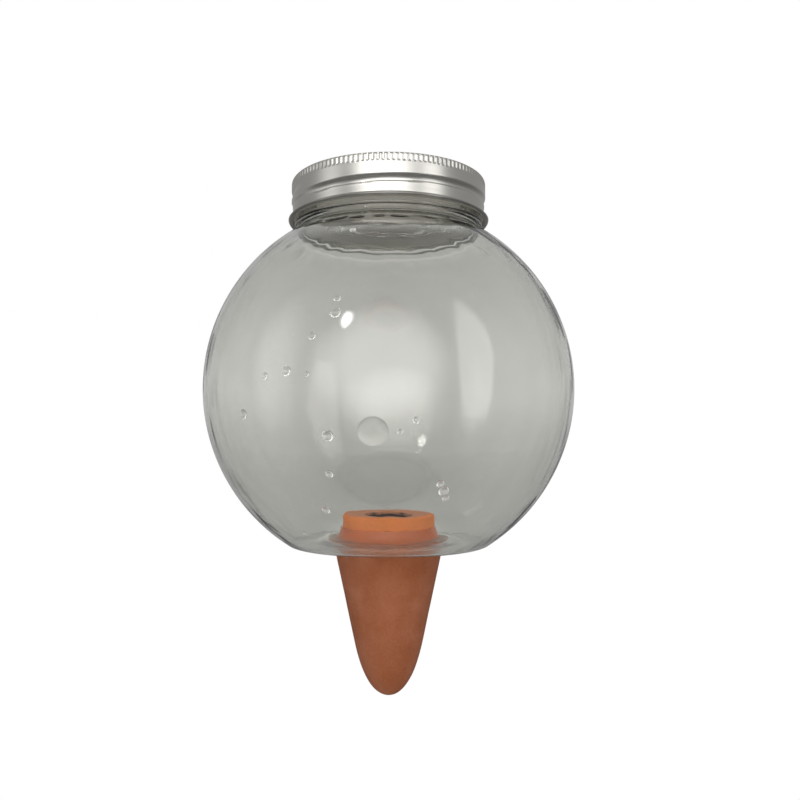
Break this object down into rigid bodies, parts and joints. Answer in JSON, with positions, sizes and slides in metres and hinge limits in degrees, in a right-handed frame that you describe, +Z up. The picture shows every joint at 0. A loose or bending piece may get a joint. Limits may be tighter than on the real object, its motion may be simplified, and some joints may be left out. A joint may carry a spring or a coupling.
{
  "type": "watering globe",
  "caption": "Clear round water reservoir with a screw lid and a hollow terracotta spike through its base, pushed into potting soil so that water seeps out through the clay.",
  "frame": {"origin": "on the axis, in the plane of the globe's foot, which is the soil line", "axes": "+Z up along the axis from the spike to the lid; +X and +Y are level and interchangeable"},
  "size_m": [0.12, 0.12, 0.1677],
  "materials": {
    "clear_pet": "clear, blow-moulded",
    "lid_aluminium": "satin",
    "liner_foam": "matte",
    "terracotta": "matte",
    "clear_silicone": "satin"
  },
  "bodies": {
    "jar": {"globe": "clear_pet", "spike": "terracotta", "spike_grommet": "clear_silicone"},
    "liner": {"lid_liner": "liner_foam"},
    "lid": {"lid_shell": "lid_aluminium"}
  },
  "joints": [
    {"name": "lid_rise", "type": "slide", "parent": "jar", "child": "liner", "axis": [0, 0, 1], "range_m": [0, 0.0064]},
    {"name": "lid_turn", "type": "hinge", "parent": "liner", "child": "lid", "pos_m": [0, 0, 0.119], "axis": [0, 0, 1], "range_deg": [0, 540]}
  ],
  "couplings": [
    {"joint": "lid_rise", "follows": "lid_turn", "m_per_rad": 0.00067376}
  ]
}
